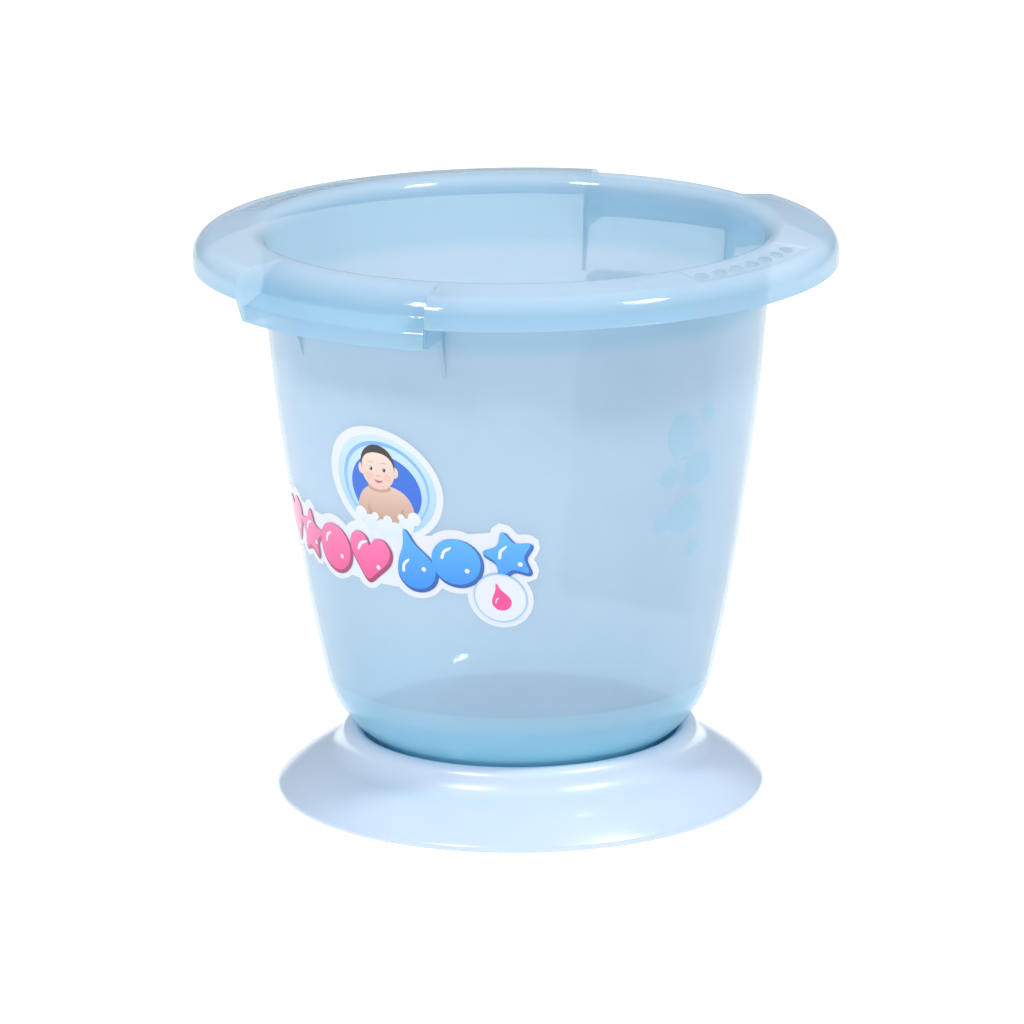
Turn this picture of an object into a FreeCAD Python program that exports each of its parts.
"""Bucket-shaped baby bathtub that stands in a separate flared base.

Millimetres.  +Z is up, the origin is at the bottom centre of the rubber pads.
The hand grips face -Y (front) and +Y (back); the rim's dotted panels face -X and +X.
"""
import FreeCAD
import Part
import math
import os

V = FreeCAD.Vector
Z_AXIS = V(0, 0, 1)
OUT = "parts"

# ---- tub: overall sizes ------------------------------------------------------
TUB_TOP = 359.0            # highest line of the rim above the floor
RIM_RADIUS = 200.0         # outside of the rim
RIM_WIDTH = 44.2           # from the tub's inner wall out to the rim's outside
WALL = 2.6                 # moulded wall thickness of the tub

# ---- tub: wall and bowl (inner face) -----------------------------------------
BOWL_FLOOR = 28.8          # inner floor above the ground
BOWL_ROUND = 61.4          # radius of the curve between floor and wall
WALL_LEAN = 12.2           # degrees the wall leans out where the bowl curve ends
WALL_BOW = 1745.0          # large radius of the slightly barrelled wall

# ---- tub: rim ------------------------------------------------------------------
LIP_ROUND = 9.6            # soft inner edge of the rim
RIM_SLOPE = 6.6            # degrees the rim's flat top falls outwards
ROLL_ROUND = 11.9          # outer edge of the rim
SKIRT_DEPTH = 21.7         # from the rim's top line down to the skirt's edge

# ---- tub: hand grips -----------------------------------------------------------
GRIP_HALF_ANGLE = 21.0     # degrees each side of the front and the back
GRIP_ROUND = 21.0          # large soft rounding of the grip's top
GRIP_FACE_LEAN = 78.0      # degrees the grip's face has fallen where its ledge starts
GRIP_CREASE = 3.0          # small radii at the grip's ledge
GRIP_LEDGE_SLOPE = 29.0    # degrees the ledge falls outwards
GRIP_INSET = 3.0           # grip skirt inside the rim's outside
GRIP_DEPTH = 35.0          # from the rim's top line down to the grip skirt's edge
END_WEB = 2.6              # wall that closes each end of a grip
RIB_REACH = 7.0            # end rib below each end wall: how far it stands out
RIB_DROP = 27.0            # ... and how far it runs down the wall

# ---- tub: dotted panels on the rim ---------------------------------------------
PANEL_HALF_ANGLE = 17.5
PANEL_MARGIN = 2.0         # panel edge to the ends of the rim's flat band
PANEL_SINK = 0.7
DOT_COUNT = 7              # raised beads along each panel
DOT_RADIUS = 4.2
DOT_RISE = 0.6             # beads stay just under the flat band

# ---- tub: foot ring under the bowl ---------------------------------------------
FOOT_GAP = 12.5            # between the base's lip and the foot ring
FOOT_WALL = 2.4

# ---- base ----------------------------------------------------------------------
BASE_RADIUS = 153.3
BASE_WALL = 2.8
CREST_TOP = 40.5           # highest line of the base's lip
CREST_ROUND = 7.5
LIP_CLEARANCE = 2.2        # between the bowl and the base's lip
FLARE_BOW = 90.0           # large radius of the domed flare
FLARE_HOLLOW = 14.0        # concave radius below the lip
CREST_TURN = 12.0          # degrees off vertical where lip and hollow meet
EDGE_ROUND = 3.0
EDGE_UPRIGHT = 0.6
WELL_DRAFT = 2.0           # degrees the well narrows downwards
WELL_ROUND = 5.0
WELL_TOP = 9.5             # well floor that carries the foot ring
DRAIN_RADIUS = 14.0        # hole in the middle of the well floor
COLLAR_HEIGHT = 6.0        # collar that centres the foot ring
COLLAR_WALL = 2.4
COLLAR_CLEARANCE = 1.0     # between the collar and the foot ring
SEAT_CLEARANCE = 0.3       # between the foot ring and the well floor
RIB_COUNT = 12             # stiffening ribs under the flare
RIB_THICK = 2.2
RIB_LIFT = 2.5             # ribs end this far above the base's edge

# ---- rubber pads ---------------------------------------------------------------
PAD_COUNT = 6
PAD_PROUD = 1.5            # pads carry the base this far off the ground
PAD_RADIUS = 7.5
PAD_EDGE = 16.0            # pad centres inside the base's edge
PAD_STEM_RADIUS = 4.0
PAD_STEM = 6.0
SOCKET_WALL = 2.4

# ---- labels --------------------------------------------------------------------
LABEL_THICK = 0.2
PICTURE_ARC = 6.6          # centre of the oval, along the wall from the front line
PICTURE_HEIGHT = 225.5
PICTURE_HALF = (42.5, 37.5)
BAND_HALF_ARC = 103.0
BAND_HEIGHT = 184.5
BAND_HALF = 24.0
BAND_CORNER = 20.0
BADGE_ARC = 77.0
BADGE_HEIGHT = 158.5
BADGE_RADIUS = 20.0
BACK_HALF_ARC = 55.0
BACK_RANGE = (87.5, 300.0)
BACK_CORNER = 12.0
SIDE_ARC = 44.0            # half width of the clear bubble print on the +X side
SIDE_RANGE = (130.0, 285.0)
SIDE_CORNER = 30.0


def cosd(a):
    return math.cos(math.radians(a))


def sind(a):
    return math.sin(math.radians(a))


class Outline:
    """Chain of straight runs and tangent arcs in the R-Z plane."""

    def __init__(self, r, z, heading):
        self.start = (r, z, heading)
        self.r, self.z, self.heading = r, z, heading
        self.steps = []

    def line(self, length):
        self.steps.append(("line", length))
        self.r += length * cosd(self.heading)
        self.z += length * sind(self.heading)
        return self

    def arc(self, radius, turn):
        """Positive turn goes left, negative goes right."""
        self.steps.append(("arc", radius, turn))
        self.r, self.z, self.heading = arc_end(self.r, self.z, self.heading, radius, turn)
        return self

    def edges(self, offset=0.0):
        """Edges of the chain moved sideways, positive to its left."""
        r0, z0, heading = self.start
        r = r0 - offset * sind(heading)
        z = z0 + offset * cosd(heading)
        made = []
        for step in self.steps:
            if step[0] == "line":
                r2 = r + step[1] * cosd(heading)
                z2 = z + step[1] * sind(heading)
                made.append(Part.LineSegment(V(r, 0, z), V(r2, 0, z2)).toShape())
            else:
                turn = step[2]
                radius = step[1] - offset * (1 if turn > 0 else -1)
                rm, zm, _ = arc_end(r, z, heading, radius, turn / 2)
                r2, z2, heading = arc_end(r, z, heading, radius, turn)
                made.append(Part.Arc(V(r, 0, z), V(rm, 0, zm), V(r2, 0, z2)).toShape())
            r, z = r2, z2
        return made


def arc_end(r, z, heading, radius, turn):
    side = 1 if turn > 0 else -1
    centre_r = r - side * radius * sind(heading)
    centre_z = z + side * radius * cosd(heading)
    new = heading + turn
    return centre_r + side * radius * sind(new), centre_z - side * radius * cosd(new), new


def end_points(edges):
    return edges[0].Vertexes[0].Point, edges[-1].Vertexes[-1].Point


def segment(a, b):
    return Part.LineSegment(a, b).toShape()


def skin_face(outline, thickness):
    """Face between an outline and its copy moved sideways."""
    near = outline.edges()
    far = outline.edges(thickness)
    a, b = end_points(near)
    c, d = end_points(far)
    closing = [segment(b, d), segment(c, a)]
    return Part.Face(Part.Wire(Part.__sortEdges__(near + far + closing)))


def closed_face(edges, *corners):
    """Face inside a chain of edges that is closed through the given corner points."""
    a, b = end_points(edges)
    stops = [b] + [V(r, 0, z) for r, z in corners] + [a]
    closing = [segment(p, q) for p, q in zip(stops, stops[1:])]
    return Part.Face(Part.Wire(Part.__sortEdges__(edges + closing)))


def spin(face, start=0.0, angle=360.0):
    """Revolve an R-Z face; start and angle are degrees about +Z from +X."""
    solid = face.revolve(V(0, 0, 0), Z_AXIS, angle)
    solid.rotate(V(0, 0, 0), Z_AXIS, start)
    return solid


def as_solid(shape):
    return shape.Solids[0] if shape.ShapeType != "Solid" and len(shape.Solids) == 1 else shape


# ---- tub outlines ---------------------------------------------------------------
LEAN_TOP_COS = (BOWL_FLOOR + BOWL_ROUND * (1 - sind(WALL_LEAN)) + WALL_BOW * sind(WALL_LEAN)
                + LIP_ROUND - TUB_TOP) / (WALL_BOW + LIP_ROUND)
WALL_TOP_HEADING = math.degrees(math.acos(LEAN_TOP_COS))
WALL_TURN = WALL_TOP_HEADING - (90 - WALL_LEAN)
WALL_SPREAD = WALL_BOW * (sind(WALL_TOP_HEADING) - cosd(WALL_LEAN))
MOUTH_RADIUS = RIM_RADIUS - RIM_WIDTH
FLOOR_RADIUS = MOUTH_RADIUS - BOWL_ROUND * cosd(WALL_LEAN) - WALL_SPREAD


def tub_inside():
    """Inner face from the middle of the floor up to the start of the rim's lip."""
    path = Outline(0, BOWL_FLOOR, 0)
    path.line(FLOOR_RADIUS)
    path.arc(BOWL_ROUND, 90 - WALL_LEAN)
    path.arc(WALL_BOW, WALL_TURN)
    return path


def lip_start():
    path = tub_inside()
    return path.r, path.z, path.heading


def rim_outline():
    """Lip, flat band, roll and skirt of the plain rim."""
    path = Outline(*lip_start())
    path.arc(LIP_ROUND, -(path.heading + RIM_SLOPE))
    roll_reach = ROLL_ROUND * (1 - sind(RIM_SLOPE))
    path.line((RIM_RADIUS - roll_reach - path.r) / cosd(RIM_SLOPE))
    path.arc(ROLL_ROUND, -(90 - RIM_SLOPE))
    return path.line(path.z - (TUB_TOP - SKIRT_DEPTH))


def grip_outline():
    """Lip, large rounding, ledge and deep skirt of a hand grip."""
    path = Outline(*lip_start())
    path.arc(LIP_ROUND, -(path.heading + RIM_SLOPE))
    path.arc(GRIP_ROUND, RIM_SLOPE - GRIP_FACE_LEAN)
    path.arc(GRIP_CREASE, GRIP_FACE_LEAN - GRIP_LEDGE_SLOPE)
    corner_reach = GRIP_CREASE * (1 - sind(GRIP_LEDGE_SLOPE))
    path.line((RIM_RADIUS - GRIP_INSET - corner_reach - path.r) / cosd(GRIP_LEDGE_SLOPE))
    path.arc(GRIP_CREASE, -(90 - GRIP_LEDGE_SLOPE))
    return path.line(path.z - (TUB_TOP - GRIP_DEPTH))


def wall_radius(z, offset=0.0):
    """Radius of the wall at a height, offset outwards from the inner face."""
    centre_r = FLOOR_RADIUS + (BOWL_ROUND - WALL_BOW) * cosd(WALL_LEAN)
    centre_z = BOWL_FLOOR + BOWL_ROUND - (BOWL_ROUND - WALL_BOW) * sind(WALL_LEAN)
    radius = WALL_BOW + offset
    return centre_r + math.sqrt(radius ** 2 - (z - centre_z) ** 2)


BOWL_CENTRE_Z = BOWL_FLOOR + BOWL_ROUND
BOWL_OUTER = BOWL_ROUND + WALL
CREST_Z = CREST_TOP - CREST_ROUND
CREST_RADIUS = FLOOR_RADIUS + math.sqrt((BOWL_OUTER + LIP_CLEARANCE + CREST_ROUND) ** 2
                                        - (BOWL_CENTRE_Z - CREST_Z) ** 2)
FOOT_RADIUS = CREST_RADIUS - CREST_ROUND - FOOT_GAP
FOOT_BOTTOM = WELL_TOP + SEAT_CLEARANCE


def filled_rim(outline):
    """Everything between a rim outline and the tub's inner face, for the grips' end walls."""
    bottom = outline.z
    top_r, top_z, _ = lip_start()
    inside = wall_radius(bottom, WALL / 2)
    return closed_face(outline.edges(), (inside, bottom), (top_r + WALL / 2, top_z))


def end_rib_face():
    """Small tapering rib on the wall under an end of a grip."""
    top = TUB_TOP - GRIP_DEPTH + WALL
    inner = WALL / 2
    reach = wall_radius(top, WALL) + RIB_REACH
    low = top - RIB_DROP
    points = [V(wall_radius(low, inner), 0, low), V(reach, 0, top), V(wall_radius(top, inner), 0, top)]
    return Part.Face(Part.makePolygon(points + points[:1]))


def grip_angles():
    """Start angles of the front and the back grip."""
    return [-90 - GRIP_HALF_ANGLE, 90 - GRIP_HALF_ANGLE]


def foot_ring():
    top = BOWL_FLOOR - WALL / 2
    if FOOT_RADIUS > FLOOR_RADIUS:
        rise = BOWL_ROUND + WALL / 2
        side = min(FOOT_RADIUS - FOOT_WALL / 2 - FLOOR_RADIUS, rise)
        top = BOWL_CENTRE_Z - math.sqrt(rise ** 2 - side ** 2)
    outer = Part.makeCylinder(FOOT_RADIUS, top - FOOT_BOTTOM, V(0, 0, FOOT_BOTTOM))
    inner = Part.makeCylinder(FOOT_RADIUS - FOOT_WALL, top - FOOT_BOTTOM, V(0, 0, FOOT_BOTTOM))
    return outer.cut(inner)


def panel_band():
    """Flat band of the rim: its start (r, z) and its length along the slope."""
    path = Outline(*lip_start())
    path.arc(LIP_ROUND, -(path.heading + RIM_SLOPE))
    length = (RIM_RADIUS - ROLL_ROUND * (1 - sind(RIM_SLOPE)) - path.r) / cosd(RIM_SLOPE)
    return path.r, path.z, length


def panel_cutter():
    """Shallow sector that sinks a panel into the rim's flat band."""
    r, z, length = panel_band()
    path = Outline(r + PANEL_MARGIN * cosd(RIM_SLOPE), z - PANEL_MARGIN * sind(RIM_SLOPE), -RIM_SLOPE)
    path.line(length - 2 * PANEL_MARGIN)
    above = path.edges(PANEL_SINK)
    below = path.edges(-PANEL_SINK)
    a, b = end_points(above)
    c, d = end_points(below)
    return Part.Face(Part.Wire(Part.__sortEdges__(above + below + [segment(b, d), segment(c, a)])))


def panel_dots(azimuth):
    """Raised beads along a panel."""
    r, z, length = panel_band()
    mid_r = r + length / 2 * cosd(RIM_SLOPE)
    mid_z = z - length / 2 * sind(RIM_SLOPE) - PANEL_SINK
    normal = V(sind(RIM_SLOPE), 0, cosd(RIM_SLOPE))
    root = V(mid_r, 0, mid_z) - normal * (WALL / 2 - PANEL_SINK)
    pitch = 2 * (PANEL_HALF_ANGLE - 3) / (DOT_COUNT - 1)
    beads = []
    for i in range(DOT_COUNT):
        bead = Part.makeCylinder(DOT_RADIUS, WALL / 2 - PANEL_SINK + DOT_RISE, root, normal)
        top = bead.Edges[0] if bead.Edges[0].BoundBox.ZMax > bead.Edges[-1].BoundBox.ZMax else bead.Edges[-1]
        bead = bead.makeFillet(DOT_RISE * 0.6, [top])
        bead.rotate(V(0, 0, 0), Z_AXIS, azimuth + (i - (DOT_COUNT - 1) / 2) * pitch)
        beads.append(bead)
    return beads


def tub_shell():
    inside = tub_inside()
    body = spin(skin_face(inside, -WALL))
    grip_arc = 2 * GRIP_HALF_ANGLE
    pieces = [foot_ring()]
    web_angle = math.degrees(END_WEB / RIM_RADIUS)
    for start in grip_angles():
        pieces.append(spin(skin_face(rim_outline(), -WALL), start + grip_arc, 180 - grip_arc))
        pieces.append(spin(skin_face(grip_outline(), -WALL), start, grip_arc))
        for web_start in (start, start + grip_arc - web_angle):
            pieces.append(spin(filled_rim(grip_outline()), web_start, web_angle))
            pieces.append(spin(filled_rim(rim_outline()), web_start, web_angle))
            pieces.append(spin(end_rib_face(), web_start, web_angle))
    shell = body.multiFuse(pieces)
    panels = [spin(panel_cutter(), side - PANEL_HALF_ANGLE, 2 * PANEL_HALF_ANGLE) for side in (0, 180)]
    shell = shell.cut(Part.makeCompound(panels))
    beads = panel_dots(0) + panel_dots(180)
    return as_solid(shell.multiFuse(beads).removeSplitter())


# ---- base -----------------------------------------------------------------------
def base_outline():
    """Outer face from the edge up the flare, over the lip and down into the well."""
    nose = (BASE_RADIUS - EDGE_ROUND, PAD_PROUD + EDGE_UPRIGHT)
    reach = CREST_ROUND + FLARE_HOLLOW
    hollow = (CREST_RADIUS + reach * cosd(CREST_TURN), CREST_Z + reach * sind(CREST_TURN))
    near = FLARE_BOW - EDGE_ROUND
    far = FLARE_BOW + FLARE_HOLLOW
    way = (hollow[0] - nose[0], hollow[1] - nose[1])
    span = math.hypot(*way)
    along = (near ** 2 - far ** 2 + span ** 2) / (2 * span)
    across = math.sqrt(near ** 2 - along ** 2)
    centre_r = nose[0] + (along * way[0] - across * way[1]) / span
    centre_z = nose[1] + (along * way[1] + across * way[0]) / span
    foot = 90 + math.degrees(math.atan2(nose[1] - centre_z, nose[0] - centre_r))
    top = 90 + math.degrees(math.atan2(hollow[1] - centre_z, hollow[0] - centre_r))
    path = Outline(BASE_RADIUS, PAD_PROUD, 90)
    path.line(EDGE_UPRIGHT)
    path.arc(EDGE_ROUND, foot - 90)
    path.arc(FLARE_BOW, top - foot)
    path.arc(FLARE_HOLLOW, -(top - 90 - CREST_TURN))
    path.arc(CREST_ROUND, 180 - CREST_TURN - WELL_DRAFT)
    well_drop = path.z - WELL_TOP - WELL_ROUND * (1 - sind(WELL_DRAFT))
    path.line(well_drop / cosd(WELL_DRAFT))
    path.arc(WELL_ROUND, -(90 - WELL_DRAFT))
    return path.line(path.r - DRAIN_RADIUS)


def base_core():
    """Solid body under the base's outer face, used to trim ribs and sockets."""
    face = closed_face(base_outline().edges(BASE_WALL / 2), (DRAIN_RADIUS, PAD_PROUD))
    return spin(face)


def pad_places():
    ring = BASE_RADIUS - PAD_EDGE
    step = 360 / PAD_COUNT
    return [V(ring * cosd(step * (i + 0.5)), ring * sind(step * (i + 0.5)), 0) for i in range(PAD_COUNT)]


def base_ribs():
    """Radial ribs between the well and the flare, plus the pad sockets."""
    inner = CREST_RADIUS - CREST_ROUND + BASE_WALL / 2
    length = BASE_RADIUS - BASE_WALL / 2 - inner
    low = PAD_PROUD + RIB_LIFT
    shapes = []
    for i in range(RIB_COUNT):
        rib = Part.makeBox(length, RIB_THICK, CREST_TOP - low, V(inner, -RIB_THICK / 2, low))
        rib.rotate(V(0, 0, 0), Z_AXIS, 360 / RIB_COUNT * (i + 0.5))
        shapes.append(rib)
    for place in pad_places():
        foot = place + V(0, 0, PAD_PROUD)
        shapes.append(Part.makeCylinder(PAD_STEM_RADIUS + SOCKET_WALL, CREST_TOP, foot))
    return shapes


def stem_length():
    """Pad stems stay inside their sockets, below the flare's outer face."""
    slope_height = flare_height(BASE_RADIUS - PAD_EDGE + PAD_STEM_RADIUS)
    return min(PAD_STEM, slope_height - BASE_WALL - PAD_PROUD)


def flare_height(radius):
    """Height of the chord across the flare's dome at a radius, just below its outer face."""
    edge = base_outline().edges()[2]
    a = edge.Vertexes[0].Point
    b = edge.Vertexes[-1].Point
    return a.z + (b.z - a.z) * (a.x - radius) / (a.x - b.x)


def base_ring():
    skin = spin(skin_face(base_outline(), BASE_WALL))
    core = base_core()
    supports = [shape.common(core) for shape in base_ribs()]
    collar_outer = FOOT_RADIUS - FOOT_WALL - COLLAR_CLEARANCE
    root = V(0, 0, WELL_TOP - BASE_WALL / 2)
    collar = Part.makeCylinder(collar_outer, COLLAR_HEIGHT + BASE_WALL / 2, root)
    collar = collar.cut(Part.makeCylinder(collar_outer - COLLAR_WALL, COLLAR_HEIGHT + BASE_WALL / 2, root))
    base = skin.multiFuse(supports + [collar])
    bores = [Part.makeCylinder(PAD_STEM_RADIUS, stem_length(), p + V(0, 0, PAD_PROUD)) for p in pad_places()]
    return as_solid(base.cut(Part.makeCompound(bores)).removeSplitter())


def foot_pads():
    """Rubber pads, each a round head below the base with a stem in its socket."""
    pads = []
    for place in pad_places():
        head = Part.makeCylinder(PAD_RADIUS, PAD_PROUD, place)
        lower = [e for e in head.Edges if e.BoundBox.ZMax < PAD_PROUD / 2 and len(e.Vertexes) == 1]
        head = head.makeFillet(PAD_PROUD / 2, lower[:1])
        stem = Part.makeCylinder(PAD_STEM_RADIUS, stem_length(), place + V(0, 0, PAD_PROUD))
        pads.append(as_solid(head.fuse(stem).removeSplitter()))
    return Part.makeCompound(pads)


# ---- labels -----------------------------------------------------------------------
def wall_skin(low, high):
    """Thin skin on the outside of the wall between two heights, all the way round."""
    face_edges = []
    rows = []
    for offset in (WALL, WALL + LABEL_THICK):
        ends = [V(wall_radius(z, offset), 0, z) for z in (low, (low + high) / 2, high)]
        face_edges.append(Part.Arc(*ends).toShape())
        rows.append((ends[0], ends[2]))
    face_edges.append(segment(rows[0][0], rows[1][0]))
    face_edges.append(segment(rows[0][1], rows[1][1]))
    return spin(Part.Face(Part.Wire(Part.__sortEdges__(face_edges))))


def rounded_plate(half_width, low, high, corner):
    """Rounded rectangle in the X-Z plane, as deep as the tub towards -Y."""
    box = Part.makeBox(2 * half_width, RIM_RADIUS, high - low, V(-half_width, -RIM_RADIUS, low))
    uprights = [e for e in box.Edges if e.BoundBox.YLength > RIM_RADIUS / 2]
    return box.makeFillet(corner, uprights)


def round_plate(x, z, half_x, half_z):
    """Ellipse in the X-Z plane, as deep as the tub towards -Y."""
    disc = Part.makeCylinder(half_z, RIM_RADIUS, V(0, 0, 0), V(0, -1, 0))
    squash = FreeCAD.Matrix()
    squash.scale(V(half_x / half_z, 1, 1))
    disc = disc.transformGeometry(squash)
    disc.translate(V(x, 0, z))
    return disc


def flat_x(arc, z):
    """Sideways place of a point at an arc length along the wall from the front line."""
    radius = wall_radius(z, WALL)
    return radius * math.sin(arc / radius)


def label_on_wall(outline, low, high, azimuth):
    """Piece of wall skin inside an outline; azimuth turns it from the front line."""
    label = wall_skin(low, high).common(outline)
    label.rotate(V(0, 0, 0), Z_AXIS, azimuth)
    return as_solid(label)


def front_label():
    band_x = flat_x(BAND_HALF_ARC, BAND_HEIGHT)
    outline = rounded_plate(band_x, BAND_HEIGHT - BAND_HALF, BAND_HEIGHT + BAND_HALF, BAND_CORNER)
    oval = round_plate(flat_x(PICTURE_ARC, PICTURE_HEIGHT), PICTURE_HEIGHT, *PICTURE_HALF)
    left = flat_x(BADGE_ARC - BADGE_RADIUS, BADGE_HEIGHT)
    right = flat_x(BADGE_ARC + BADGE_RADIUS, BADGE_HEIGHT)
    badge = round_plate((left + right) / 2, BADGE_HEIGHT, (right - left) / 2, BADGE_RADIUS)
    outline = outline.multiFuse([oval, badge])
    low = min(BAND_HEIGHT - BAND_HALF, BADGE_HEIGHT - BADGE_RADIUS) - 1
    return label_on_wall(outline, low, PICTURE_HEIGHT + PICTURE_HALF[1] + 1, 0)


def back_label():
    low, high = BACK_RANGE
    half = flat_x(BACK_HALF_ARC, (low + high) / 2)
    return label_on_wall(rounded_plate(half, low, high, BACK_CORNER), low - 1, high + 1, 180)


def side_label():
    low, high = SIDE_RANGE
    half = flat_x(SIDE_ARC, (low + high) / 2)
    return label_on_wall(rounded_plate(half, low, high, SIDE_CORNER), low - 1, high + 1, 90)


MAKERS = {
    "tub_shell": tub_shell,
    "front_label": front_label,
    "back_label": back_label,
    "side_label": side_label,
    "base_ring": base_ring,
    "foot_pads": foot_pads,
}

os.makedirs(OUT, exist_ok=True)
for node, make in MAKERS.items():
    shape = make()
    if not shape.isValid() or not shape.Solids:
        raise ValueError(node + " is not a sound solid")
    shape.exportStep(OUT + "/" + node + ".step")
    box = shape.BoundBox
    print(node, len(shape.Solids), "solids", round(shape.Volume / 1000, 1), "cm3",
          [round(v, 1) for v in (box.XMin, box.XMax, box.YMin, box.YMax, box.ZMin, box.ZMax)])
print("floor radius", round(FLOOR_RADIUS, 1), "crest radius", round(CREST_RADIUS, 1),
      "foot radius", round(FOOT_RADIUS, 1), "wall heading at top", round(WALL_TOP_HEADING, 2))
